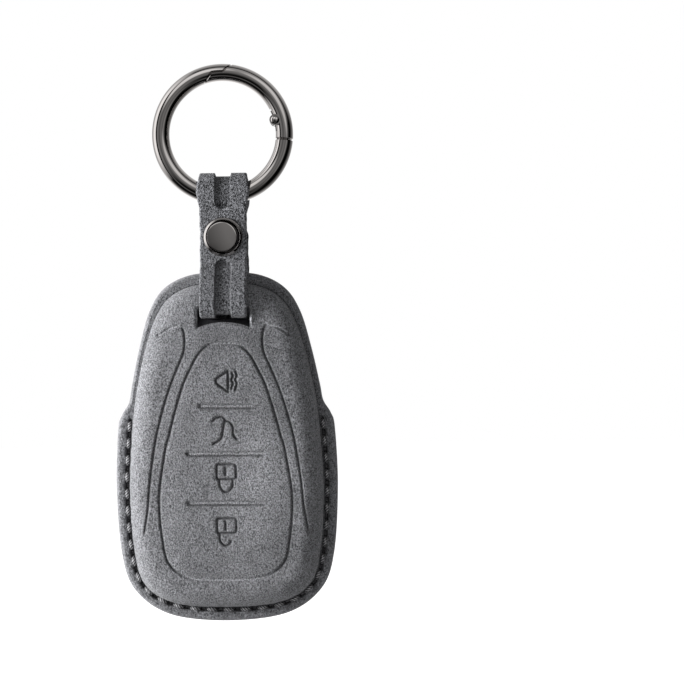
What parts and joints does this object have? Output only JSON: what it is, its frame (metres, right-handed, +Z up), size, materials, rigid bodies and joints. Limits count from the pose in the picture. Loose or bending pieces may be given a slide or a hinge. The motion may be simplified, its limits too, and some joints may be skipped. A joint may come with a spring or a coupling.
{
  "type": "key fob cover",
  "caption": "Moulded suede cover for a car key, stitched round its lower edge, hung by a snap strap from a ring that opens at a sprung gate.",
  "frame": {"origin": "centre of the ring, in the middle plane of the wire", "axes": "+Z up along the hanging cover, front faces -Y, +X to the right as seen from the front"},
  "size_m": [0.0552, 0.0218, 0.1387],
  "materials": {
    "gunmetal": "polished black nickel",
    "gunmetal_satin": "satin black nickel",
    "steel": "bright nickel",
    "suede": "grey moulded suede with a fine nap",
    "strap_suede": "grey suede with a coarser nap",
    "lining": "thin dark flocked cloth",
    "thread": "waxed twisted thread"
  },
  "bodies": {
    "ring": {"ring_body": "gunmetal", "gate_pin": "gunmetal", "gate_spring": "steel"},
    "gate": {"ring_gate": "gunmetal"},
    "strap": {"strap": "strap_suede", "snap_cap": "gunmetal_satin", "snap_socket": "steel", "snap_spring": "steel"},
    "tab": {"strap_tab": "strap_suede", "snap_stud": "steel", "snap_post": "gunmetal_satin"},
    "cover": {"front_skin": "suede", "front_lining": "lining", "back_skin": "suede", "back_lining": "lining", "seam_thread": "thread"}
  },
  "joints": [
    {"name": "gate_hinge", "type": "hinge", "parent": "ring", "child": "gate", "pos_m": [0.01319, 0, 0.00331], "axis": [0, -1, 0], "range_deg": [0, 25], "stiffness_Nm_per_rad": 0.01, "springref_deg": -28.65, "deforming": ["gate_spring"]},
    {"name": "strap_swing", "type": "hinge", "parent": "ring", "child": "strap", "pos_m": [0, 0, -0.0146], "axis": [1, 0, 0], "range_deg": [-140, 140]},
    {"name": "tab_fold", "type": "hinge", "parent": "strap", "child": "tab", "pos_m": [0, 0.0036, -0.03033], "axis": [-1, 0, 0], "range_deg": [0, 75], "deforming": ["snap_spring"]},
    {"name": "cover_rock", "type": "hinge", "parent": "strap", "child": "cover", "pos_m": [0, 0, -0.04496], "axis": [1, 0, 0], "range_deg": [-2, 2]}
  ]
}
